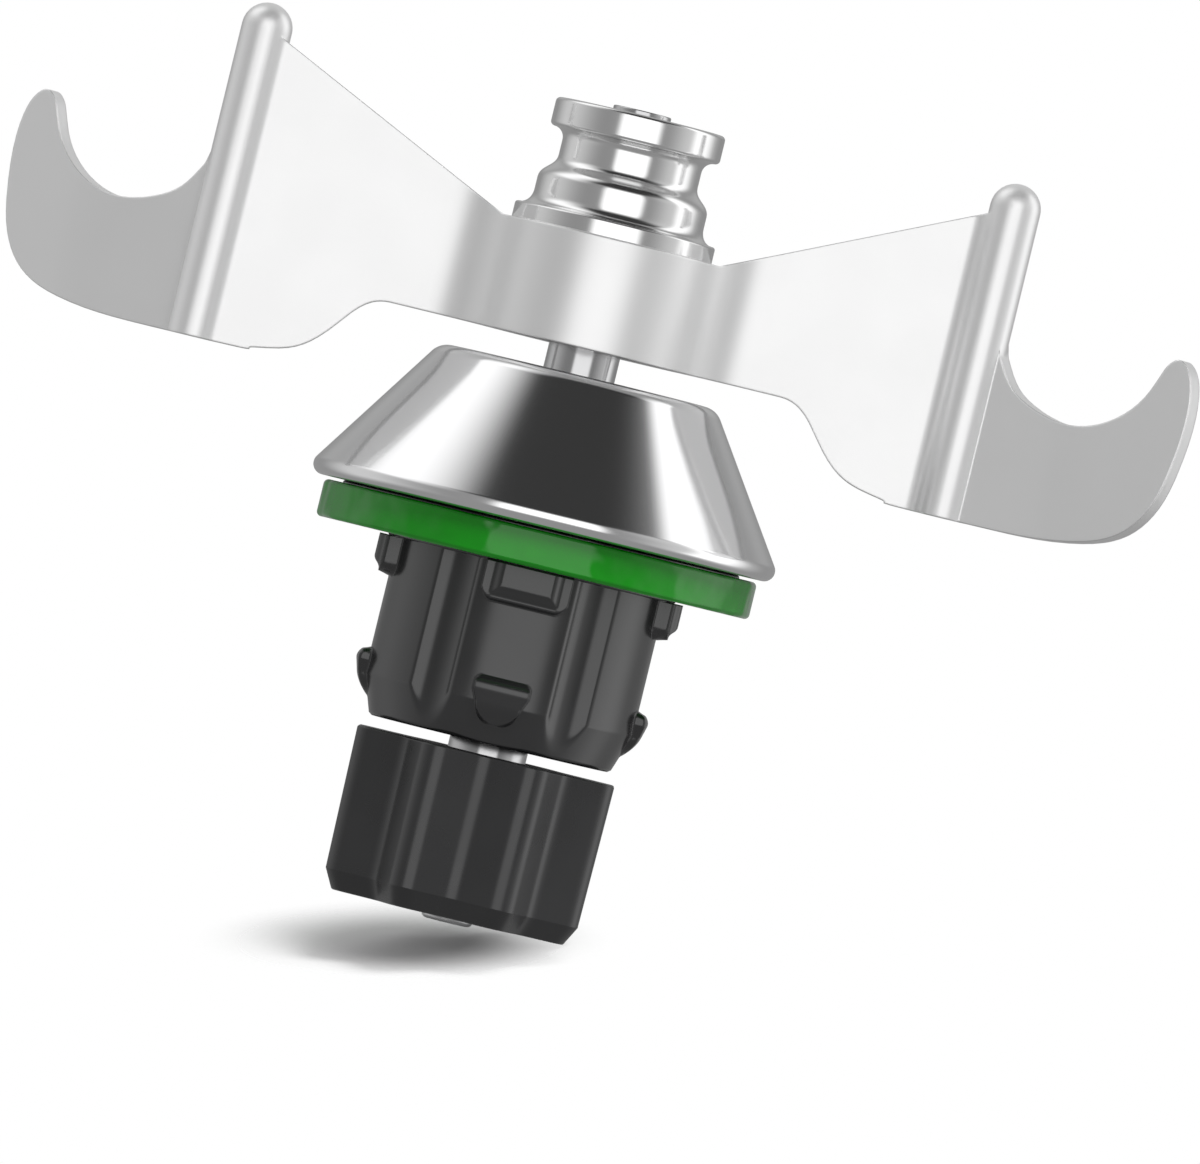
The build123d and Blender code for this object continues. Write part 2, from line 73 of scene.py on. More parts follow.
def length(name, description, default):
    """A size in millimetres, kept in metres."""
    return FloatProperty(name=name, description=description, default=default * MM, unit="LENGTH",
                         precision=5)


def colour(name, description, default):
    """A linear colour."""
    return FloatVectorProperty(name=name, description=description, default=default, subtype="COLOR", size=3,
                               min=0, max=1)


class ShapeSizes(bpy.types.PropertyGroup):
    """Fineness of the turned pieces, and the cast blade's edges"""

    spin_steps: IntProperty(name="Spin steps", description="Faces round a turned piece", default=256, min=48)
    cast_edge: length("Cast edge", "Rounding that blasting leaves on the blade's edges", 0.3)


class NutSizes(bpy.types.PropertyGroup):
    """Section of the hub nut"""

    bore_r: length("Bore radius", "Radius of the threaded bore", 2.98)
    base_t: length("Base thickness", "Thickness of the base disc", 1.72)
    foot_round: length("Foot rounding", "Rounding of the base disc's lower edge", 0.12)
    base_round: length("Base rounding", "Rounding of the base disc's upper edge", 0.28)
    sweep_start: length("Sweep start", "From the base disc's edge in to where the sweep starts", 0.55)
    barrel_r: length("Barrel radius", "Radius of the barrel and of the head", 8.7)
    barrel_low: length("Barrel low end", "Where the sweep from the base meets the barrel", 3.3)
    barrel_high: length("Barrel high end", "Where the barrel turns in to the waist", 4.5)
    waist_r: length("Waist radius", "Smallest radius", 7.15)
    waist_low: length("Waist low end", "Where the waist begins", 7.1)
    waist_high: length("Waist high end", "Where the waist ends", 8.65)
    head_t: length("Head thickness", "Height of the head's side", 2.9)
    head_lip: length("Head lip", "From the head's side in to where the waist's curve ends", 0.55)
    head_round: length("Head rounding", "Rounding of the head's edges", 0.45)


class ShaftSizes(bpy.types.PropertyGroup):
    """Steps of the drive shaft"""

    end_r: length("End radius", "Radius of the lower end", 2.6)
    end_top: length("End height", "Height of the lower end", 4.0)
    drive_r: length("Drive radius", "Radius at the lower flats", 3.5)
    drive_flat: length("Drive flats", "Half the width across the lower flats", 2.8)
    drive_top: length("Drive height", "Top of the lower flats", 12.0)
    shaft_r: length("Bearing seat radius", "Radius in the bearings", 4.0)
    collar_r: length("Collar radius", "Radius of the collar above the bearings", 4.8)
    collar_t: length("Collar thickness", "Thickness of the collar", 2.0)
    neck_r: length("Neck radius", "Radius between the collar and the blade", 3.65)
    seat_r: length("Blade seat radius", "Radius at the upper flats", 3.4)
    seat_h: length("Blade seat height", "Height of the upper flats", 11.25)
    seat_flat: length("Blade seat flats", "Half the width across the upper flats", 2.96)
    thread_r: length("Thread radius", "Radius of the thread", 2.96)
    groove: length("Clip groove", "Depth of the clip grooves", 0.6)
    end_round: length("End rounding", "Rounding of the lower end", 0.5)
    step_round: length("Step rounding", "Rounding of the steps and the collar", 0.2)
    tip_round: length("Tip rounding", "Rounding of the thread's end", 0.15)


class CoverSizes(bpy.types.PropertyGroup):
    """Drawn sheet of the cone cover"""

    sheet_t: length("Sheet thickness", "Thickness of the drawn sheet", 1.0)
    slant_low_r: length("Slant radius", "Where the slant would meet the rim's level", 24.7)
    top_r: length("Top radius", "Where the slant would meet the top's level", 14.2)
    lip_r: length("Lip radius", "Inner radius of the turned-in rim", 18.6)
    hole_r: length("Hole radius", "Radius of the hole in the top", 7.42)
    rim_round: length("Rim round", "Rounding of the rim", 1.1)
    top_round: length("Top round", "Rounding of the shoulder", 2.2)
    hem_round: length("Hem round", "Rounding of the sheet's cut edges", 0.2)


class SealSizes(bpy.types.PropertyGroup):
    """Section of the seal ring"""

    foot_r: length("Foot radius", "Inner radius of the foot", 14.8)
    wall_r: length("Wall radius", "Inner radius of the wall", 20.42)
    foot_t: length("Foot thickness", "Thickness of the foot", 2.0)
    edge: length("Edge", "Rounding of the outer edges", 0.5)
    relief: length("Relief", "Rise of the underside towards the collar", 0.4)
    level_r: length("Level radius", "Where the underside becomes level", 16.0)


class HousingSizes(bpy.types.PropertyGroup):
    """Body, flutes and bayonet of the bearing housing"""

    columns: IntProperty(name="Columns", description="Faces round the housing", default=640, min=96)
    crowd: FloatProperty(name="Crowding", description="How much closer the columns stand at the bayonet",
                         default=0.4, min=0, max=0.8)
    soft: length("Softness", "Width over which moulded shapes run into each other", 0.3)
    edge: length("Edge", "Rounding of the edges", 0.25)
    base_r: length("Base radius", "Radius of the lower end", 12.38)
    taper_h: length("Taper height", "Height of the taper", 4.05)
    barrel_r: length("Barrel radius", "Radius of the barrel", 13.76)
    barrel_h: length("Barrel height", "Height of the barrel", 13.9)
    flute_r: length("Flute radius", "Radius of a flute's section", 3.8)
    flute_depth: length("Flute depth", "Depth of a flute in the barrel", 0.98)
    flute_angle: FloatProperty(name="Flute angle", description="From the front and from the back",
                               default=math.radians(31), subtype="ANGLE")
    tooth_half_w: length("Tooth half width", "At the top", 2.7)
    tooth_waist_half_w: length("Tooth foot half width", "At the taper", 2.2)
    tooth_h: length("Tooth height", "Above the taper", 2.45)
    tooth_drop: length("Tooth drop", "Below the top of the taper", 2.25)
    tooth_out: length("Tooth reach", "Out from the barrel", 1.34)
    tooth_knee_drop: length("Knee drop", "Where the face turns in, below the top of the taper", 0.95)
    tooth_knee_out: length("Knee reach", "Out from the barrel", 0.6)
    tooth_round: length("Tooth rounding", "Of the upper corners", 0.7)
    tooth_foot_round: length("Tooth foot rounding", "Of the lower corners", 2.15)
    pad_half_w: length("Pad half width", "Of the pad", 4.14)
    pad_h: length("Pad height", "Below the collar", 3.85)
    pad_out: length("Pad reach", "Out from the barrel", 1.14)
    pad_raise: length("Plateau", "Height of the bevelled plateau", 0.7)
    pad_corner_r: length("Pad corner", "Rounding of the lower corners", 1.3)
    pad_top_half_w: length("Plateau half width", "At its top", 2.35)
    pad_top_h: length("Plateau height", "At its top, below the collar", 2.55)
    collar_r: length("Collar radius", "Under the flange", 14.78)
    collar_h: length("Collar height", "Under the flange", 2.15)
    collar_round: length("Collar rounding", "Of its lower edge", 0.15)
    flange_t: length("Flange thickness", "Of the flange", 2.1)
    neck_r: length("Neck radius", "Inside the cone cover", 9.0)
    spigot_r: length("Spigot radius", "In the cover's hole", 7.4)
    spigot_h: length("Spigot height", "In the cover's hole", 0.9)
    spigot_round: length("Spigot rounding", "Of its end", 0.1)
    neck_bore_r: length("Neck bore", "Round the shaft", 5.6)
    seal_r: length("Seal bore", "Round the shaft seal", 6.52)
    seal_depth: length("Seal bore depth", "From the neck's end", 5.3)
    shoulder_r: length("Shoulder radius", "Over the upper bearing", 6.51)
    relief_h: length("Relief height", "Over the upper bearing", 3.0)
    bore_r: length("Bearing bore", "Round the bearings", 8.02)
    groove_r: length("Clip groove", "Radius of the groove for the clip", 8.6)


class CouplerSizes(bpy.types.PropertyGroup):
    """Star and bore of the drive coupler"""

    columns: IntProperty(name="Columns", description="Faces round the coupler", default=384, min=96)
    half_side: length("Half side", "Of the two squares that make the star", 10.56)
    draft: length("Draft", "Loss of half side down to the lead-in", 0.19)
    lead_h: length("Lead-in height", "At the lower end", 2.0)
    lead_in: length("Lead-in", "Loss of half side over the lead-in", 0.81)
    ridge_r: length("Ridge rounding", "Of the points", 2.0)
    valley: length("Valley", "Width over which the two squares run into each other", 0.7)
    edge: length("Edge", "Rounding of the ends", 0.22)
    recess_r: length("Recess radius", "Round the clip", 4.3)
    recess_h: length("Recess height", "Round the clip", 1.2)
    end_r: length("End bore", "Round the shaft's end", 2.62)
    end_h: length("End bore height", "Up to the flats", 3.4)
    drive_r: length("Drive bore", "Radius at the flats", 3.52)
    drive_flat: length("Drive flats", "Half the width across the flats", 2.82)
    drive_h: length("Drive bore height", "Up to the end of the flats", 11.4)
    shaft_r: length("Shaft bore", "Above the flats", 4.02)


class Finishes(bpy.types.PropertyGroup):
    """Colours of the finishes"""

    satin_steel: colour("Satin steel", "Cast and blasted stainless steel", (0.86, 0.86, 0.86))
    polished_steel: colour("Polished steel", "Turned and polished stainless steel", (0.84, 0.84, 0.84))
    # The shaft's darker colour is painted shade: it stands for the shade that the cover, the blade and the
    # coupler cast on the shaft.
    shaft_painted_shade_steel: colour("Shaft steel with painted shade", "Ground bar, darkened as painted shade", (0.58, 0.58, 0.585))
    mirror_steel: colour("Mirror steel", "Mirror-polished sheet", (0.87, 0.87, 0.875))
    ground_steel: colour("Ground steel", "Ground bearing steel", (0.60, 0.60, 0.61))
    spring_steel: colour("Spring steel", "Blackened spring steel", (0.09, 0.09, 0.10))
    cage_brass: colour("Brass", "Stamped brass", (0.72, 0.53, 0.24))
    green_silicone: colour("Green silicone", "Moulded seal", (0.002, 0.275, 0.003))
    black_rubber: colour("Black rubber", "Lip seal and ring", (0.022, 0.022, 0.023))
    housing_plastic: colour("Housing plastic", "Moulded dark grey plastic", (0.022, 0.022, 0.023))
    coupler_plastic: colour("Coupler plastic", "Moulded dark grey plastic", (0.020, 0.020, 0.021))


class StudioSizes(bpy.types.PropertyGroup):
    """Camera, floor and light"""

    focal: FloatProperty(name="Focal length", description="Of the camera, in millimetres", default=600.0)
    view_width: length("View width", "Width of the view at the turning axis", 120.0)
    view_x: length("View centre X", "Where the camera points, across", 6.95)
    view_z: length("View centre Z", "Where the camera points, up", 36.7)
    roll: FloatProperty(name="Roll", description="Lean of the turning axis in the view",
                        default=math.radians(13.65), subtype="ANGLE")
    floor_r: length("Floor radius", "Radius of the round floor", 23.0)
    floor_left: length("Floor to the left", "From the axis to the floor's middle", 4.6)
    floor_back: length("Floor to the back", "From the axis to the floor's middle", 6.5)
    floor_pitch: FloatProperty(name="Floor pitch", description="At which the camera looks down on the floor",
                               default=math.radians(10.8), subtype="ANGLE")
    tent_r: length("Tent radius", "Radius of the light tent", 1500.0)
    key_power: FloatProperty(name="Key light", description="Power in watts", default=12.0, min=0)
    key_size: length("Key size", "Diameter of the key light", 500.0)
    key_right: length("Key to the right", "From the axis to the key light", 400.0)
    key_front: length("Key to the front", "From the axis to the key light", 400.0)
    key_up: length("Key height", "Of the key light", 1100.0)
    fill_level: FloatProperty(name="Fill level", description="Level of the world's even light",
                              default=0.5, min=0)
    floor_glow: FloatProperty(name="Floor glow", description="White added to the floor for the camera",
                              default=0.06, min=0)


def sizes(group):
    """One group of values of this scene."""
    return getattr(bpy.context.scene, "mixer_" + group)


def section(*corners, segments=6):
    """Closed outline of a turned section; a corner is a radius, a height and, where round, a rounding."""
    points = []
    for place, (r, z, *rounding) in enumerate(corners):
        here = Vector((r, z))
        if not rounding:
            points.append(here)
            continue
        back = (Vector(corners[place - 1][:2]) - here).normalized()
        onward = (Vector(corners[(place + 1) % len(corners)][:2]) - here).normalized()
        half = back.angle(onward) / 2
        centre = here + (back + onward).normalized() * rounding[0] / math.sin(half)
        first = here + back * rounding[0] / math.tan(half) - centre
        last = here + onward * rounding[0] / math.tan(half) - centre
        sweep = math.copysign(math.pi - 2 * half, first.cross(last))
        points += [centre + Matrix.Rotation(sweep * k / segments, 2) @ first for k in range(segments + 1)]
    return points


def rows(start, end, count):
    """Points between two corners of a section, without the first."""
    return [(start[0] + (end[0] - start[0]) * k / count, start[1] + (end[1] - start[1]) * k / count)
            for k in range(1, count + 1)]


def lathe(points, steps=None):
    """Turns a closed section once round the axis and closes it at its poles."""
    bm = bmesh.new()
    ring = [bm.verts.new((p[0], 0.0, p[1])) for p in points]
    for first, second in zip(ring, ring[1:] + ring[:1]):
        bm.edges.new((first, second))
    bmesh.ops.spin(bm, geom=bm.verts[:] + bm.edges[:], cent=(0, 0, 0), axis=(0, 0, 1), angle=FULL_TURN,
                   steps=steps or sizes("shapes").spin_steps, use_merge=True)
    bmesh.ops.remove_doubles(bm, verts=bm.verts, dist=MERGE)
    bmesh.ops.dissolve_degenerate(bm, edges=bm.edges, dist=MERGE)
    bmesh.ops.recalc_face_normals(bm, faces=bm.faces)
    return bm


def mill_flats(bm, radius, half_width, low, high):
    """Two flats, facing the front and the back, on everything of this radius between two heights."""
    for vert in bm.verts:
        x, y, z = vert.co
        if low - MERGE < z < high + MERGE and math.hypot(x, y) < radius + MERGE and abs(y) > half_width:
            vert.co.y = math.copysign(half_width, y)


def lower(first, second, reach):
    """The smaller of two values, with a smooth change from one to the other."""
    share = max(reach - abs(first - second), 0) / reach
    return min(first, second) - share * share * reach / 4


def higher(first, second, reach):
    """The greater of two values, with a smooth change."""
    return -lower(-first, -second, reach)


def soft_step(value, reach):
    """0 well below zero and 1 well above it."""
    share = min(max(value / reach + 0.5, 0), 1)
    return share * share * (3 - 2 * share)


def depth_in_corner(across, along, rounding):
    """How far a point lies inside a round corner, from its depths inside the corner's two sides."""
    if across < rounding and along < rounding:
        return rounding - math.hypot(rounding - across, rounding - along)
    return min(across, along)


def curve(start, start_way, end, end_way, pull=0.4, count=12):
    """Points of a smooth curve between two points of a section, its ends included."""
    reach = (Vector(end) - Vector(start)).length * pull
    first = Vector(start) + Vector(start_way).normalized() * reach
    second = Vector(end) - Vector(end_way).normalized() * reach
    points = interpolate_bezier(*(Vector((*p, 0)) for p in (start, first, second, end)), count)
    return [(p.x, p.y) for p in points]


def solid_copy(node, flat=math.radians(0.8)):
    """Merged copy of a solid's mesh, its flat faces made whole."""
    bm = bmesh.new()
    bm.from_mesh(frame["nodes"][node].data)
    bmesh.ops.remove_doubles(bm, verts=bm.verts, dist=MERGE)
    bmesh.ops.dissolve_limit(bm, angle_limit=flat, verts=bm.verts, edges=bm.edges)
    return bm


def keep_crisp(bm, sharp=math.radians(30)):
    """Marks the edges that smooth shading must not blur."""
    for edge in bm.edges:
        edge.smooth = not edge.is_manifold or edge.calc_face_angle(0) < sharp


def finished(bm, name, node):
    """Makes a bmesh a piece that stands for a solid, with its body, its slot and its finish."""
    mesh = bpy.data.meshes.new(name)
    for face in bm.faces:
        face.smooth = True
    bm.to_mesh(mesh)
    bm.free()
    mesh.materials.append(finish_of(node))
    piece = bpy.data.objects.new(name, mesh)
    bpy.context.scene.collection.objects.link(piece)
    weights = piece.modifiers.new("Even shading", "WEIGHTED_NORMAL")
    weights.mode = "FACE_AREA_WITH_ANGLE"
    weights.weight = 60
    weights.keep_sharp = True
    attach(piece, BODY_OF[node])
    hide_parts(node)
    return piece


def dress(node, solid):
    """Gives a solid that is right as it is its finish."""
    for material_slot in solid.material_slots:
        material_slot.link = "OBJECT"
        material_slot.material = finish_of(node)


class Tree:
    """Short way to place nodes and links in a shader tree."""

    def __init__(self, tree):
        self.tree = tree

    def node(self, kind, **settings):
        """A shader node of this kind, with its settings."""
        made = self.tree.nodes.new("ShaderNode" + kind)
        for key, value in settings.items():
            setattr(made, key, value)
        return made

    def link(self, start, end):
        self.tree.links.new(start, end)

    def math(self, operation, first, second=None, clamp=False):
        """A Math node; each input is a socket or a number."""
        made = self.node("Math", operation=operation, use_clamp=clamp)
        for socket, value in zip(made.inputs, (first, second)):
            self.feed(value, socket)
        return made.outputs[0]

    def feed(self, value, socket):
        """Links a socket, or sets a plain value."""
        if value is None:
            return
        if isinstance(value, bpy.types.NodeSocket):
            self.link(value, socket)
        else:
            socket.default_value = value

    def spread(self, value, low, high, to_low, to_high, smooth=True):
        """Maps a value from one range to another, smoothly and held at both ends."""
        made = self.node("MapRange", interpolation_type="SMOOTHSTEP" if smooth else "LINEAR")
        for socket, given in zip(made.inputs, (value, low, high, to_low, to_high)):
            self.feed(given, socket)
        return made.outputs["Result"]

    def mix(self, share, first, second):
        """Mixes two colours."""
        made = self.node("Mix", data_type="RGBA")
        self.feed(share, made.inputs["Factor"])
        for value, socket in ((first, made.inputs[6]), (second, made.inputs[7])):
            self.feed((*value, 1) if isinstance(value, tuple) else value, socket)
        return made.outputs[2]


def new_group(name, inputs, outputs):
    """An empty shader group with named sockets, its Tree, and its input and output nodes."""
    tree = bpy.data.node_groups.new(name, "ShaderNodeTree")
    for socket_name, default in inputs:
        socket = tree.interface.new_socket(name=socket_name, in_out="INPUT", socket_type="NodeSocketFloat")
        socket.default_value = default
    for socket_name in outputs:
        tree.interface.new_socket(name=socket_name, in_out="OUTPUT", socket_type="NodeSocketFloat")
    build = Tree(tree)
    return build, build.tree.nodes.new("NodeGroupInput"), build.tree.nodes.new("NodeGroupOutput")


def grain_group():
    """Fine blasted or moulded grain, and slow unevenness of the gloss."""
    build, given, made = new_group("Grain", [("Grain size", 0.0002), ("Patch size", 0.01)],
                                   ["Height", "Patches"])
    place = build.node("TexCoord").outputs["Object"]
    for size, result, detail in (("Grain size", "Height", 3.0), ("Patch size", "Patches", 2.0)):
        noise = build.node("TexNoise")
        build.link(place, noise.inputs["Vector"])
        build.link(build.math("DIVIDE", 1.0, given.outputs[size]), noise.inputs["Scale"])
        noise.inputs["Detail"].default_value = detail
        build.link(noise.outputs["Fac"], made.inputs[result])
    return build.tree


def turning_group(height_share=1.37):
    """Fine rings left by turning: they change with the distance from the axis and a share of the height."""
    build, given, made = new_group("Turning marks", [("Ring width", 0.0001)], ["Height"])
    split = build.node("SeparateXYZ")
    build.link(build.node("TexCoord").outputs["Object"], split.inputs[0])
    across = build.math("MULTIPLY", split.outputs["X"], split.outputs["X"])
    along = build.math("MULTIPLY", split.outputs["Y"], split.outputs["Y"])
    radius = build.math("SQRT", build.math("ADD", across, along))
    ring = build.math("ADD", radius, build.math("MULTIPLY", split.outputs["Z"], height_share))
    noise = build.node("TexNoise", noise_dimensions="1D")
    build.link(ring, noise.inputs["W"])
    build.link(build.math("DIVIDE", 1.0, given.outputs["Ring width"]), noise.inputs["Scale"])
    noise.inputs["Detail"].default_value = 2.0
    build.link(noise.outputs["Fac"], made.inputs["Height"])
    return build.tree


def scratch_group(stretch=14.0, hairline=0.006):
    """Sparse hairline scratches in two directions: thin bands of stretched noise."""
    build, given, made = new_group("Hairlines", [("Spacing", 0.004), ("Amount", 0.5)], ["Mask"])
    place = build.node("TexCoord").outputs["Object"]
    masks = []
    for turn in ((0.4, 0.9, 0.2), (1.3, -0.5, 1.1)):
        mapping = build.node("Mapping")
        mapping.inputs["Rotation"].default_value = turn
        mapping.inputs["Scale"].default_value = (1.0, stretch, stretch)
        build.link(place, mapping.inputs["Vector"])
        noise = build.node("TexNoise")
        build.link(mapping.outputs["Vector"], noise.inputs["Vector"])
        build.link(build.math("DIVIDE", 1.0, given.outputs["Spacing"]), noise.inputs["Scale"])
        noise.inputs["Detail"].default_value = 1.0
        off = build.math("ABSOLUTE", build.math("SUBTRACT", noise.outputs["Fac"], 0.5))
        masks.append(build.spread(off, 0.0, hairline, 1.0, 0.0))
    both = build.math("MAXIMUM", *masks)
    build.link(build.math("MULTIPLY", both, given.outputs["Amount"]), made.inputs["Mask"])
    return build.tree


def edge_group(rubbed=0.80, whole=0.985):
    """Mask of the edges, where handling has rubbed the surface: there a rounded normal departs from it."""
    build, given, made = new_group("Rubbed edges", [("Width", 0.0003)], ["Mask"])
    bevel = build.node("Bevel", samples=6)
    build.link(given.outputs["Width"], bevel.inputs["Radius"])
    dot = build.node("VectorMath", operation="DOT_PRODUCT")
    build.link(bevel.outputs["Normal"], dot.inputs[0])
    build.link(build.node("NewGeometry").outputs["Normal"], dot.inputs[1])
    build.link(build.spread(dot.outputs["Value"], rubbed, whole, 1.0, 0.0), made.inputs["Mask"])
    return build.tree


def placed(build, group, **values):
    """A group placed in a material, with its own values."""
    made = build.node("Group", node_tree=group)
    for key, value in values.items():
        made.inputs[key.replace("_", " ").capitalize()].default_value = value
    return made.outputs


def bump(build, height, depth, shader, normal=None):
    """Bump from a height, fed to the shader's normal."""
    made = build.node("Bump")
    made.inputs["Strength"].default_value = 1.0
    made.inputs["Distance"].default_value = depth
    build.link(height, made.inputs["Height"])
    if normal:
        build.link(normal, made.inputs["Normal"])
    build.link(made.outputs["Normal"], shader.inputs["Normal"])
    return made.outputs["Normal"]


# Unevenness that all steel and all moulded pieces share: the noise between which the gloss changes, the
# least and most share of the roughness, the share of the colour in dim patches, and what wear does
PATCH_NOISE = (0.35, 0.65)
STEEL_PATCH, STEEL_ROUGHNESS, STEEL_DIM = 9 * MM, (0.98, 1.03), 0.99
SCRATCH_SPACING, SCRATCH_AMOUNT, SCRATCH_ROUGHNESS = 5 * MM, 0.1, 0.25
STEEL_WEAR_WIDTH, STEEL_WEAR_GLOSS = 0.25 * MM, 0.35
MOULDED_PATCH, MOULDED_ROUGHNESS, MOULDED_DIM = 7 * MM, (0.92, 1.1), 0.88
MOULDED_WEAR_WIDTH, MOULDED_WEAR_GLOSS = 0.35 * MM, 0.06


def new_material(name, metallic):
    """A material with one principled shader, its tree and the shader."""
    material = bpy.data.materials.new(name)
    material.use_nodes = True
    build = Tree(material.node_tree)
    shader = material.node_tree.nodes["Principled BSDF"]
    shader.inputs["Metallic"].default_value = metallic
    shader.inputs["IOR"].default_value = IOR
    return material, build, shader


def steel_material(groups, name, base, roughness, grain, depth, rings=None, blasted=None):
    """Steel with grain, hairlines and uneven gloss.

    Turned steel has rings, of a width and a depth. Blasted steel scatters a share of the light, and its
    edges look rounded.
    """
    material, build, shader = new_material(name, 1.0)
    base = tuple(base)
    texture = placed(build, groups["grain"], grain_size=grain, patch_size=STEEL_PATCH)
    lines = placed(build, groups["scratch"], spacing=SCRATCH_SPACING, amount=SCRATCH_AMOUNT)
    edges = placed(build, groups["edge"], width=STEEL_WEAR_WIDTH)
    least, most = (roughness * share for share in STEEL_ROUGHNESS)
    dull = build.spread(texture["Patches"], *PATCH_NOISE, least, most)
    scratched = build.math("ADD", dull, build.math("MULTIPLY", lines["Mask"], SCRATCH_ROUGHNESS))
    rubbed = build.math("MULTIPLY", edges["Mask"], -STEEL_WEAR_GLOSS * roughness)
    build.link(build.math("ADD", scratched, rubbed, clamp=True), shader.inputs["Roughness"])
    dimmer = tuple(STEEL_DIM * value for value in base)
    build.link(build.mix(texture["Patches"], dimmer, base), shader.inputs["Base Color"])
    softened = None
    if blasted:
        scatter, edge_round = blasted
        shader.inputs["Metallic"].default_value = 1.0 - scatter
        bevel = build.node("Bevel", samples=8)
        bevel.inputs["Radius"].default_value = edge_round
        softened = bevel.outputs["Normal"]
    normal = bump(build, texture["Height"], depth, shader, softened)
    if rings:
        ring_width, ring_depth = rings
        marks = placed(build, groups["turning"], ring_width=ring_width)
        bump(build, marks["Height"], ring_depth, shader, normal)
    return material


def moulded_material(groups, name, base, roughness, grain, depth, worn, level=0.5, waves=0.0):
    """Moulded plastic or rubber: fine grain, slow waves, uneven sheen and slightly paler rubbed edges."""
    material, build, shader = new_material(name, 0.0)
    shader.inputs["Specular IOR Level"].default_value = level
    base = tuple(base)
    texture = placed(build, groups["grain"], grain_size=grain, patch_size=MOULDED_PATCH)
    edges = placed(build, groups["edge"], width=MOULDED_WEAR_WIDTH)
    least, most = (roughness * share for share in MOULDED_ROUGHNESS)
    sheen = build.spread(texture["Patches"], *PATCH_NOISE, least, most)
    rubbed = build.math("MULTIPLY", edges["Mask"], MOULDED_WEAR_GLOSS)
    build.link(build.math("SUBTRACT", sheen, rubbed, clamp=True), shader.inputs["Roughness"])
    paler = tuple(min(1.0, worn * value) for value in base)
    dimmer = tuple(MOULDED_DIM * value for value in base)
    body = build.mix(texture["Patches"], dimmer, base)
    build.link(build.mix(edges["Mask"], body, paler), shader.inputs["Base Color"])
    normal = bump(build, texture["Height"], depth, shader)
    if waves:
        bump(build, texture["Patches"], waves, shader, normal)
    return material


MATERIALS = {}


def make_materials():
    """Every finish of the object, by the record's slots, and the shaft's steel, whose darker colour is
    painted shade.
    """
    groups = {"grain": grain_group(), "turning": turning_group(), "scratch": scratch_group(),
              "edge": edge_group()}
    tones = sizes("finishes")
    steel = {
        "blade_steel": dict(name="Satin steel", base=tones.satin_steel, roughness=0.38, grain=0.16 * MM,
                            depth=0.003 * MM, blasted=(0.25, sizes("shapes").cast_edge)),
        "polished_steel": dict(name="Polished steel", base=tones.polished_steel, roughness=0.14,
                               grain=0.3 * MM, depth=0.0003 * MM, rings=(0.05 * MM, 0.0003 * MM)),
        # The shaft's darker base colour is painted shade for the shaft between the cover and the blade and
        # under the coupler.
        "drive_shaft": dict(name="Shaft steel with painted shade", base=tones.shaft_painted_shade_steel, roughness=0.13,
                            grain=0.3 * MM, depth=0.0003 * MM, rings=(0.05 * MM, 0.0003 * MM)),
        "mirror_steel": dict(name="Mirror steel", base=tones.mirror_steel, roughness=0.13,
                             grain=0.4 * MM, depth=0.0002 * MM),
        "bearing_steel": dict(name="Ground steel", base=tones.ground_steel, roughness=0.24,
                              grain=0.1 * MM, depth=0.001 * MM, rings=(0.06 * MM, 0.0008 * MM)),
        "ball_steel": dict(name="Ball steel", base=tones.polished_steel, roughness=0.05,
                           grain=0.3 * MM, depth=0.0001 * MM),
        "cage_brass": dict(name="Cage brass", base=tones.cage_brass, roughness=0.28,
                           grain=0.12 * MM, depth=0.001 * MM),
        "spring_steel": dict(name="Spring steel", base=tones.spring_steel, roughness=0.34,
                             grain=0.1 * MM, depth=0.0015 * MM),
    }
    moulded = {
        "green_seal": dict(name="Green silicone", base=tones.green_silicone, roughness=0.06,
                           grain=0.15 * MM, depth=0.0003 * MM, worn=1.3, level=0.6, waves=1.0 * MM),
        "seal_rubber": dict(name="Black rubber", base=tones.black_rubber, roughness=0.50,
                            grain=0.12 * MM, depth=0.002 * MM, worn=1.3),
        "housing_plastic": dict(name="Housing plastic", base=tones.housing_plastic, roughness=0.20,
                                grain=0.18 * MM, depth=0.0015 * MM, worn=1.6, level=1.0),
        "coupler_plastic": dict(name="Coupler plastic", base=tones.coupler_plastic, roughness=0.28,
                                grain=0.18 * MM, depth=0.0012 * MM, worn=1.6, level=0.8),
    }
    for key, values in steel.items():
        MATERIALS[key] = steel_material(groups, **values)
    for key, values in moulded.items():
        MATERIALS[key] = moulded_material(groups, **values)


def finish_of(node):
    """The material of a node, or else of its slot."""
    if not MATERIALS:
        make_materials()
    return MATERIALS.get(node) or MATERIALS[SLOT_OF[node]]


class MIXER_OT_kneading_blade(bpy.types.Operator):
    """Cast blade: the solid's mesh with its faces shaded smooth between crisp edges"""

    bl_idname = "mixer.kneading_blade"
    bl_label = "Kneading blade"
    bl_options = {"REGISTER", "UNDO"}

    def execute(self, context):
        bm = solid_copy("kneading_blade")
        keep_crisp(bm)
        finished(bm, "kneading_blade_cast", "kneading_blade")
        return {"FINISHED"}


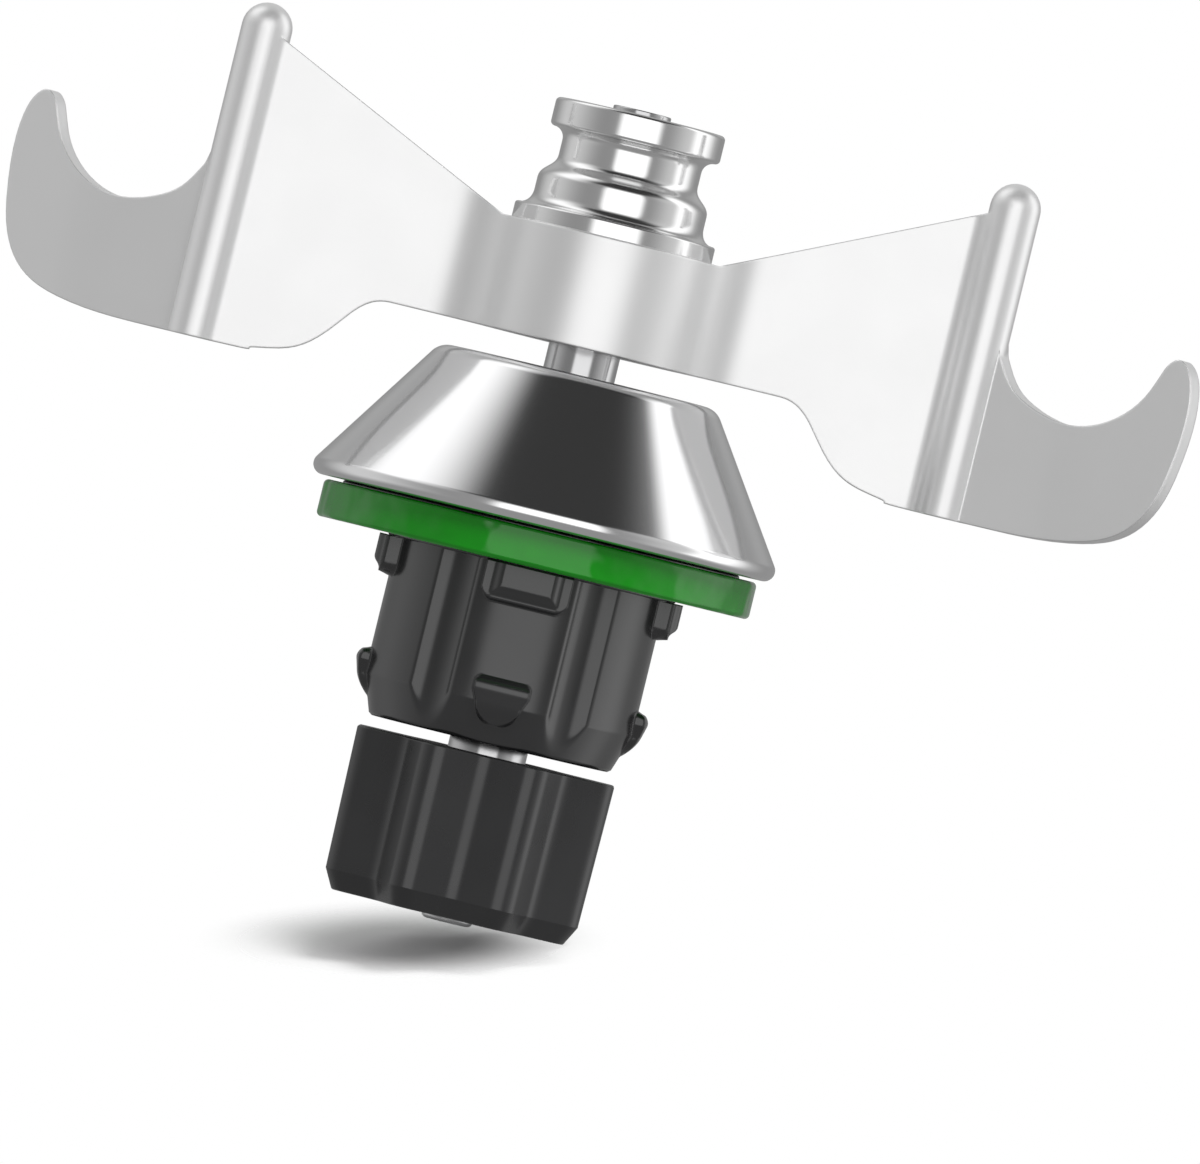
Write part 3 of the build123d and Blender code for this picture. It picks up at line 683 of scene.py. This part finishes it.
class MIXER_OT_hub_nut(bpy.types.Operator):
    """Turned nut: base disc, sweep, barrel, waist and head"""

    bl_idname = "mixer.hub_nut"
    bl_label = "Hub nut"
    bl_options = {"REGISTER", "UNDO"}

    def execute(self, context):
        nut = sizes("nut")
        low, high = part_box("hub_nut")
        foot, head_low = low.z, high.z - nut.head_t
        sweep = curve((high.x - nut.sweep_start, foot + nut.base_t), (-1, 0.3),
                      (nut.barrel_r, foot + nut.barrel_low), (0, 1))
        turn_in = curve((nut.barrel_r, foot + nut.barrel_high), (0, 1),
                        (nut.waist_r, foot + nut.waist_low), (0, 1))
        turn_out = curve((nut.waist_r, foot + nut.waist_high), (0, 1),
                         (nut.barrel_r - nut.head_lip, head_low), (1, 0.2))
        corners = [(nut.bore_r, foot), (high.x, foot, nut.foot_round),
                   (high.x, foot + nut.base_t, nut.base_round)]
        corners += sweep + turn_in + turn_out
        corners += [(nut.barrel_r, head_low, nut.head_round), (nut.barrel_r, high.z, nut.head_round),
                    (nut.bore_r, high.z)]
        finished(lathe(section(*corners)), "hub_nut_turned", "hub_nut")
        return {"FINISHED"}


class MIXER_OT_drive_shaft(bpy.types.Operator):
    """Turned shaft with its grooves, flats and collar"""

    bl_idname = "mixer.drive_shaft"
    bl_label = "Drive shaft"
    bl_options = {"REGISTER", "UNDO"}

    def execute(self, context):
        shaft = sizes("shaft")
        low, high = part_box("drive_shaft")
        seat_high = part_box("hub_nut")[0].z
        seat_low = seat_high - shaft.seat_h
        collar_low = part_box("upper_inner_race")[1].z
        collar_high = collar_low + shaft.collar_t
        clip_low, clip_high = (corner.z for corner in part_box("shaft_clip"))
        end_clip_low, end_clip_high = (corner.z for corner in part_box("coupler_clip"))
        end_groove_r, groove_r = shaft.end_r - shaft.groove, shaft.shaft_r - shaft.groove
        corners = [
            (0, low.z), (shaft.end_r, low.z, shaft.end_round),
            (shaft.end_r, end_clip_low), (end_groove_r, end_clip_low),
            (end_groove_r, end_clip_high), (shaft.end_r, end_clip_high),
            (shaft.end_r, shaft.end_top), (shaft.drive_r, shaft.end_top, shaft.step_round),
            (shaft.drive_r, shaft.drive_top), (shaft.shaft_r, shaft.drive_top, shaft.step_round),
            (shaft.shaft_r, clip_low), (groove_r, clip_low),
            (groove_r, clip_high), (shaft.shaft_r, clip_high),
            (shaft.shaft_r, collar_low), (shaft.collar_r, collar_low, shaft.step_round),
            (shaft.collar_r, collar_high, shaft.step_round), (shaft.neck_r, collar_high),
            (shaft.neck_r, seat_low), (shaft.seat_r, seat_low),
            (shaft.seat_r, seat_high), (shaft.thread_r, seat_high),
            (shaft.thread_r, high.z, shaft.tip_round), (0, high.z),
        ]
        bm = lathe(section(*corners, segments=4), sizes("shapes").spin_steps // 2)
        mill_flats(bm, shaft.drive_r, shaft.drive_flat, shaft.end_top, shaft.drive_top)
        mill_flats(bm, shaft.seat_r, shaft.seat_flat, seat_low, seat_high)
        finished(bm, "drive_shaft_turned", "drive_shaft")
        return {"FINISHED"}


class MIXER_OT_cone_cover(bpy.types.Operator):
    """Drawn and polished cone with a rolled rim"""

    bl_idname = "mixer.cone_cover"
    bl_label = "Cone cover"
    bl_options = {"REGISTER", "UNDO"}

    def execute(self, context):
        cover = sizes("cover")
        low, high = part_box("cone_cover")
        sheet = cover.sheet_t
        slant = math.atan2(high.z - low.z, cover.slant_low_r - cover.top_r)
        rim_inset = sheet / math.tan(slant / 2)
        top_inset = sheet * math.tan(slant / 2)
        corners = [
            (cover.lip_r, low.z, cover.hem_round), (cover.slant_low_r, low.z, cover.rim_round),
            (cover.top_r, high.z, cover.top_round), (cover.hole_r, high.z, cover.hem_round),
            (cover.hole_r, high.z - sheet),
            (cover.top_r - top_inset, high.z - sheet, cover.top_round - sheet),
            (cover.slant_low_r - rim_inset, low.z + sheet, cover.rim_round - sheet),
            (cover.lip_r, low.z + sheet),
        ]
        bm = lathe(section(*corners, segments=12))
        finished(bm, "cone_cover_drawn", "cone_cover")
        return {"FINISHED"}


class MIXER_OT_seal_ring(bpy.types.Operator):
    """Moulded ring round the housing's flange"""

    bl_idname = "mixer.seal_ring"
    bl_label = "Seal ring"
    bl_options = {"REGISTER", "UNDO"}

    def execute(self, context):
        seal = sizes("seal")
        low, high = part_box("seal_ring")
        step = low.z + seal.foot_t
        corners = [
            (seal.foot_r, low.z + seal.relief), (seal.level_r, low.z), (high.x, low.z, seal.edge),
            (high.x, high.z, seal.edge), (seal.wall_r, high.z), (seal.wall_r, step), (seal.foot_r, step),
        ]
        finished(lathe(section(*corners)), "seal_ring_moulded", "seal_ring")
        return {"FINISHED"}


class MIXER_OT_bearing_housing(bpy.types.Operator):
    """Moulded housing: its turned body is pressed in at the flutes and raised at the bayonet"""

    bl_idname = "mixer.bearing_housing"
    bl_label = "Bearing housing"
    bl_options = {"REGISTER", "UNDO"}

    def flute(self, house, radius, angle):
        """Radius of the body at an angle from the front or the back, where a flute may cut in."""
        middle = house.barrel_r + house.flute_r - house.flute_depth
        off = angle - house.flute_angle
        if abs(middle * math.sin(off)) > house.flute_r:
            return radius
        cut = middle * math.cos(off) - math.sqrt(house.flute_r ** 2 - (middle * math.sin(off)) ** 2)
        return lower(radius, cut, house.soft)

    def tooth(self, house, radius, across, z):
        """Radius of the body with a bayonet tooth."""
        low, knee = self.taper_top - house.tooth_drop, self.taper_top - house.tooth_knee_drop
        top = self.taper_top + house.tooth_h
        spread = min(max(2 * (z - self.taper_top) / house.tooth_h, 0), 1)
        half_width = house.tooth_waist_half_w + spread * (house.tooth_half_w - house.tooth_waist_half_w)
        inside = min(depth_in_corner(half_width - across, z - low, house.tooth_foot_round),
                     depth_in_corner(half_width - across, top - z, house.tooth_round))
        if inside < -house.soft:
            return radius
        shoulder = top - house.tooth_round
        lean = (house.tooth_out - house.tooth_knee_out) / (shoulder - knee)
        face = house.barrel_r + house.tooth_knee_out + lean * (z - knee)
        face = lower(face, house.barrel_r + house.tooth_knee_out + z - knee, house.tooth_round)
        face = lower(face, house.barrel_r + house.tooth_out + shoulder - z, house.tooth_round)
        return radius + max(face - radius, 0) * soft_step(inside, house.soft)

    def pad(self, house, radius, across, z):
        """Radius of the body with a bayonet pad and its bevelled plateau."""
        inside = depth_in_corner(house.pad_half_w - across, z - (self.collar_low - house.pad_h),
                                 house.pad_corner_r)
        if inside < -house.soft:
            return radius
        rise = min(house.pad_top_half_w + house.pad_raise - across,
                   z - (self.collar_low - house.pad_top_h - house.pad_raise))
        rise = higher(lower(rise, house.pad_raise, house.soft), 0, house.soft)
        face = math.hypot(house.barrel_r + house.pad_out + rise, across)
        return radius + (face - radius) * soft_step(inside, house.soft)

    def execute(self, context):
        house = sizes("housing")
        low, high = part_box("bearing_housing")
        bearing_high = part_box("upper_outer_race")[1].z
        clip_low, clip_high = (corner.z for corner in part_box("housing_clip"))
        self.taper_top = low.z + house.taper_h
        self.collar_low = self.taper_top + house.barrel_h
        flange_low = self.collar_low + house.collar_h
        flange_high = flange_low + house.flange_t
        tooth_high = self.taper_top + house.tooth_h + house.soft
        pad_low = self.collar_low - house.pad_h - house.soft
        flare = house.edge * (house.barrel_r - house.base_r) / house.taper_h
        foot = (house.base_r + flare, low.z + house.edge)
        knee = (house.barrel_r, self.taper_top)
        over_tooth, under_pad = (house.barrel_r, tooth_high), (house.barrel_r, pad_low)
        collar_foot = (house.barrel_r, self.collar_low)
        # The rows of faces stand close at the teeth and the pads, and wide between them
        shell = [(house.base_r - house.edge, low.z), foot]
        shell += rows(foot, knee, 24) + rows(knee, over_tooth, 18)
        shell += rows(over_tooth, under_pad, 4) + rows(under_pad, collar_foot, 28)
        corners = [(house.bore_r, low.z)] + shell + [
            (house.collar_r, self.collar_low, house.collar_round), (house.collar_r, flange_low),
            (high.x, flange_low, house.edge), (high.x, flange_high, house.edge),
            (house.neck_r, flange_high, house.edge), (house.neck_r, high.z - house.spigot_h, house.edge),
            (house.spigot_r, high.z - house.spigot_h), (house.spigot_r, high.z, house.spigot_round),
            (house.seal_r, high.z), (house.seal_r, high.z - house.seal_depth),
            (house.neck_bore_r, high.z - house.seal_depth),
            (house.neck_bore_r, bearing_high + house.relief_h),
            (house.shoulder_r, bearing_high + house.relief_h), (house.shoulder_r, bearing_high),
            (house.bore_r, bearing_high), (house.bore_r, clip_high), (house.groove_r, clip_high),
            (house.groove_r, clip_low), (house.bore_r, clip_low),
        ]
        bm = lathe(section(*corners, segments=3), house.columns)
        for vert in bm.verts:
            # The columns crowd at the front, the back and the sides, where the teeth and the pads are
            turn = math.atan2(vert.co.x, vert.co.y)
            vert.co.xy = Matrix.Rotation(house.crowd * math.sin(4 * turn) / 4, 2) @ vert.co.xy
            x, y, z = vert.co
            radius = math.hypot(x, y)
            if z > self.collar_low + MERGE or not house.base_r - MERGE < radius < house.barrel_r + MERGE:
                continue
            quarter = math.atan2(abs(x), abs(y))
            off = min(quarter, math.pi / 2 - quarter)
            new = self.flute(house, radius, quarter)
            across = house.barrel_r * math.sin(off)
            new = self.tooth(house, new, across, z)
            new = self.pad(house, new, across, z)
            vert.co.x *= new / radius
            vert.co.y *= new / radius
        finished(bm, "bearing_housing_moulded", "bearing_housing")
        return {"FINISHED"}


class MIXER_OT_drive_coupler(bpy.types.Operator):
    """Moulded drive: its turned body is drawn out to an eight-pointed star"""

    bl_idname = "mixer.drive_coupler"
    bl_label = "Drive coupler"
    bl_options = {"REGISTER", "UNDO"}

    def square(self, half_side, rounding, angle):
        """Distance from the middle to the outline of a round-cornered square."""
        off = abs((angle + math.pi / 4) % (math.pi / 2) - math.pi / 4)
        straight = half_side - rounding
        if half_side * math.tan(off) <= straight:
            return half_side / math.cos(off)
        ahead = straight * (math.cos(off) + math.sin(off))
        return ahead + math.sqrt(ahead ** 2 - 2 * straight ** 2 + rounding ** 2)

    def execute(self, context):
        drive = sizes("coupler")
        low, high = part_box("drive_coupler")
        side = drive.half_side - drive.draft
        corners = [
            (drive.recess_r, low.z), (side - drive.lead_in, low.z, drive.edge),
            (side, low.z + drive.lead_h, drive.edge), (drive.half_side, high.z, drive.edge),
            (drive.shaft_r, high.z), (drive.shaft_r, low.z + drive.drive_h),
            (drive.drive_r, low.z + drive.drive_h), (drive.drive_r, low.z + drive.end_h),
            (drive.end_r, low.z + drive.end_h), (drive.end_r, low.z + drive.recess_h),
            (drive.recess_r, low.z + drive.recess_h),
        ]
        bm = lathe(section(*corners), drive.columns)
        mill_flats(bm, drive.drive_r, drive.drive_flat, low.z + drive.end_h, low.z + drive.drive_h)
        for vert in bm.verts:
            x, y = vert.co.xy
            radius = math.hypot(x, y)
            if radius < side - drive.lead_in - drive.edge - MERGE:
                continue
            angle = math.atan2(y, x)
            first = self.square(radius, drive.ridge_r, angle - math.pi / 8)
            second = self.square(radius, drive.ridge_r, angle + math.pi / 8)
            star = higher(first, second, drive.valley)
            vert.co.x *= star / radius
            vert.co.y *= star / radius
        finished(bm, "drive_coupler_moulded", "drive_coupler")
        return {"FINISHED"}


class MIXER_OT_inner_pieces(bpy.types.Operator):
    """Finish of the bearings, spacers, clips and seals, whose solids are right as they are"""

    bl_idname = "mixer.inner_pieces"
    bl_label = "Inner pieces"
    bl_options = {"REGISTER", "UNDO"}

    def execute(self, context):
        for node, solid in frame["nodes"].items():
            if not solid.hide_render:
                dress(node, solid)
        return {"FINISHED"}


def stage_object(name, bm, material, **visible):
    """Floor or tent: not part of the object."""
    mesh = bpy.data.meshes.new(name)
    bm.to_mesh(mesh)
    bm.free()
    mesh.materials.append(material)
    made = bpy.data.objects.new(name, mesh)
    bpy.context.scene.collection.objects.link(made)
    for key, value in visible.items():
        setattr(made, "visible_" + key, value)
    return made


def ray_switch(build, kinds):
    """1 for rays of these kinds, else 0."""
    path = build.node("LightPath")
    total = path.outputs[kinds[0]]
    for kind in kinds[1:]:
        total = build.math("MAXIMUM", total, path.outputs[kind])
    return total


def plain_world(level):
    """White behind the object and in its gloss, and an even light on it."""
    world = bpy.data.worlds.new("Studio")
    bpy.context.scene.world = world
    world.use_nodes = True
    build = Tree(world.node_tree)
    background = world.node_tree.nodes["Background"]
    background.inputs["Color"].default_value = (1, 1, 1, 1)
    seen = ray_switch(build, SEEN_RAYS)
    build.link(build.spread(seen, 0, 1, level, 1.0, smooth=False), background.inputs["Strength"])


def floor_material(radius, glow, fade_from=0.25, fade_to=0.95):
    """Pale floor that keeps the shadow; it fades out between two shares of its radius, and below."""
    material = bpy.data.materials.new("Pale floor")
    material.use_nodes = True
    build = Tree(material.node_tree)
    shader = material.node_tree.nodes["Principled BSDF"]
    shader.inputs["Base Color"].default_value = (0.9, 0.9, 0.9, 1)
    shader.inputs["Roughness"].default_value = 0.9
    shader.inputs["Specular IOR Level"].default_value = 0.0
    white = build.node("Emission")
    seen = ray_switch(build, SEEN_RAYS)
    build.link(build.math("MULTIPLY", seen, glow), white.inputs["Strength"])
    lit = build.node("AddShader")
    build.link(shader.outputs[0], lit.inputs[0])
    build.link(white.outputs[0], lit.inputs[1])
    distance = build.node("VectorMath", operation="LENGTH")
    build.link(build.node("TexCoord").outputs["Object"], distance.inputs[0])
    edge = build.spread(distance.outputs["Value"], fade_from * radius, fade_to * radius, 0.0, 1.0)
    fade = build.math("MAXIMUM", edge, build.node("NewGeometry").outputs["Backfacing"])
    mixed = build.node("MixShader")
    build.link(fade, mixed.inputs[0])
    build.link(lit.outputs[0], mixed.inputs[1])
    build.link(build.node("BsdfTransparent").outputs[0], mixed.inputs[2])
    build.link(mixed.outputs[0], material.node_tree.nodes["Material Output"].inputs["Surface"])
    return material


# A panel starts and ends at an azimuth from the front towards +X, each with its softness. Its lean moves
# both with the elevation. Its height is the elevation from and to, with the softness. Angles are in degrees.
TentPanel = namedtuple("TentPanel", "name start end lean height level")
TENT_LEVEL = 0.30  # where no panel is
TENT_PANELS = [  # later ones cover earlier ones
    TentPanel("top", start=(-72, 34), end=(96, 8), lean=0.0, height=(46, 90, 6), level=0.04),
    TentPanel("front", start=(-25, 5), end=(30, 5), lean=0.0, height=(-18, 39, 8), level=1.35),
    TentPanel("right_glow", start=(56, 22), end=(125, 22), lean=0.0, height=(-30, 50, 14), level=0.66),
    TentPanel("right", start=(81, 7), end=(115, 14), lean=0.12, height=(-25, 58, 8), level=1.30),
    TentPanel("left", start=(-130, 20), end=(-74, 30), lean=-0.1, height=(-30, 30, 14), level=0.66),
    TentPanel("left_high", start=(-124, 20), end=(-68, 28), lean=-0.1, height=(28, 72, 10), level=1.22),
    TentPanel("back", start=(150, 14), end=(215, 14), lean=0.0, height=(14, 60, 8), level=0.45),
]


def tent_material():
    """Light and dark panels round the object, by direction."""
    material = bpy.data.materials.new("Light tent")
    material.use_nodes = True
    build = Tree(material.node_tree)
    nodes = material.node_tree.nodes
    nodes.remove(nodes["Principled BSDF"])
    way = build.node("VectorMath", operation="NORMALIZE")
    build.link(build.node("TexCoord").outputs["Object"], way.inputs[0])
    split = build.node("SeparateXYZ")
    build.link(way.outputs[0], split.inputs[0])
    degrees = 180 / math.pi
    front = build.math("MULTIPLY", split.outputs["Y"], -1.0)
    azimuth = build.math("MULTIPLY", build.math("ARCTAN2", split.outputs["X"], front), degrees)
    elevation = build.math("MULTIPLY", build.math("ARCSINE", split.outputs["Z"]), degrees)
    turned = build.math("ADD", azimuth, build.math("MULTIPLY", build.math("LESS_THAN", azimuth, 0), 360))
    level = TENT_LEVEL
    for panel in TENT_PANELS:
        start, start_soft = panel.start
        end, end_soft = panel.end
        foot, top, soft = panel.height
        around = turned if end > 180 else azimuth
        leant = build.math("SUBTRACT", around, build.math("MULTIPLY", elevation, panel.lean))
        mask = build.spread(leant, start - start_soft, start + start_soft, 0, 1)
        for part in (
            build.spread(leant, end - end_soft, end + end_soft, 1, 0),
            build.spread(elevation, foot - soft, foot + soft, 0, 1),
            build.spread(elevation, top - soft, top + soft, 1, 0),
        ):
            mask = build.math("MULTIPLY", mask, part)
        step = build.node("Mix", data_type="FLOAT", label=panel.name)
        build.link(mask, step.inputs[0])
        build.feed(level, step.inputs[2])
        build.feed(panel.level, step.inputs[3])
        level = step.outputs[0]
    glow = build.node("Emission")
    build.link(level, glow.inputs["Strength"])
    build.link(glow.outputs[0], nodes["Material Output"].inputs["Surface"])
    return material


class MIXER_OT_stage(bpy.types.Operator):
    """Camera, pale floor, white background, light tent and a soft key light"""

    bl_idname = "mixer.stage"
    bl_label = "Studio"
    bl_options = {"REGISTER", "UNDO"}

    def execute(self, context):
        studio = sizes("studio")
        scene = context.scene
        scene.view_settings.view_transform = "Standard"
        plain_world(studio.fill_level)
        centre = Vector((studio.view_x, 0, studio.view_z))

        camera = bpy.data.cameras.new("Camera")
        camera.lens = studio.focal
        camera.sensor_width = 36.0
        camera.clip_end = 50.0
        distance = studio.view_width * camera.lens / camera.sensor_width
        holder = bpy.data.objects.new("Camera", camera)
        scene.collection.objects.link(holder)
        upright = Matrix.Rotation(math.pi / 2, 4, "X") @ Matrix.Rotation(studio.roll, 4, "Z")
        holder.matrix_world = Matrix.Translation(centre - Vector((0, distance, 0))) @ upright
        scene.camera = holder

        # The floor is level in the picture, in which the object leans, and lies just under the coupler
        level = Matrix.Rotation(-studio.roll, 4, "Y") @ Matrix.Rotation(studio.floor_pitch, 4, "X")
        up = level @ Vector((0, 0, 1))
        low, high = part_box("drive_coupler")
        floor_up = low.z * up.z - high.x * math.hypot(up.x, up.y)
        bm = bmesh.new()
        bmesh.ops.create_circle(bm, cap_ends=True, segments=96, radius=studio.floor_r)
        floor = stage_object("Floor", bm, floor_material(studio.floor_r, studio.floor_glow))
        middle = up * floor_up + level @ Vector((-studio.floor_left, studio.floor_back, 0))
        floor.matrix_world = Matrix.Translation(middle) @ level

        bm = bmesh.new()
        bmesh.ops.create_uvsphere(bm, u_segments=64, v_segments=32, radius=studio.tent_r)
        tent = stage_object("Light tent", bm, tent_material(), camera=False, diffuse=False, shadow=False,
                            transmission=False, volume_scatter=False)
        tent.location = centre

        key = bpy.data.lights.new("Key", "AREA")
        key.shape = "DISK"
        key.size = studio.key_size
        key.energy = studio.key_power
        lamp = bpy.data.objects.new("Key", key)
        scene.collection.objects.link(lamp)
        lamp.location = level @ Vector((studio.key_right, -studio.key_front, studio.key_up))
        lamp.rotation_euler = (centre - lamp.location).to_track_quat("-Z", "Y").to_euler()
        lamp.visible_glossy = False
        return {"FINISHED"}


class MIXER_PT_sidebar(bpy.types.Panel):
    """Lists the pieces and their sizes"""

    bl_label = "Dough mixer blade"
    bl_idname = "MIXER_PT_sidebar"
    bl_space_type = "VIEW_3D"
    bl_region_type = "UI"
    bl_category = "Mixer blade"

    def draw(self, context):
        layout = self.layout
        for operator in OPERATORS:
            layout.operator(operator.bl_idname)
        for name, group in GROUPS.items():
            box = layout.box()
            box.label(text=group.__doc__)
            for field in group.__annotations__:
                box.prop(getattr(context.scene, "mixer_" + name), field)


GROUPS = {"shapes": ShapeSizes, "nut": NutSizes, "shaft": ShaftSizes, "cover": CoverSizes, "seal": SealSizes,
          "housing": HousingSizes, "coupler": CouplerSizes, "finishes": Finishes, "studio": StudioSizes}
OPERATORS = [MIXER_OT_kneading_blade, MIXER_OT_hub_nut, MIXER_OT_drive_shaft, MIXER_OT_cone_cover,
             MIXER_OT_seal_ring, MIXER_OT_bearing_housing, MIXER_OT_drive_coupler, MIXER_OT_inner_pieces,
             MIXER_OT_stage]


def register():
    """Registers the sizes, operators and panel."""
    for group in GROUPS.values():
        bpy.utils.register_class(group)
    for operator in OPERATORS:
        bpy.utils.register_class(operator)
    bpy.utils.register_class(MIXER_PT_sidebar)
    for name, group in GROUPS.items():
        setattr(bpy.types.Scene, "mixer_" + name, PointerProperty(type=group))


def unregister():
    """Takes away what register added."""
    for name in GROUPS:
        delattr(bpy.types.Scene, "mixer_" + name)
    bpy.utils.unregister_class(MIXER_PT_sidebar)
    for operator in reversed(OPERATORS):
        bpy.utils.unregister_class(operator)
    for group in reversed(GROUPS.values()):
        bpy.utils.unregister_class(group)


def main():
    """Makes every piece and the studio."""
    register()
    for operator in OPERATORS:
        family, name = operator.bl_idname.split(".")
        getattr(getattr(bpy.ops, family), name)()


if __name__ == "__main__":
    main()
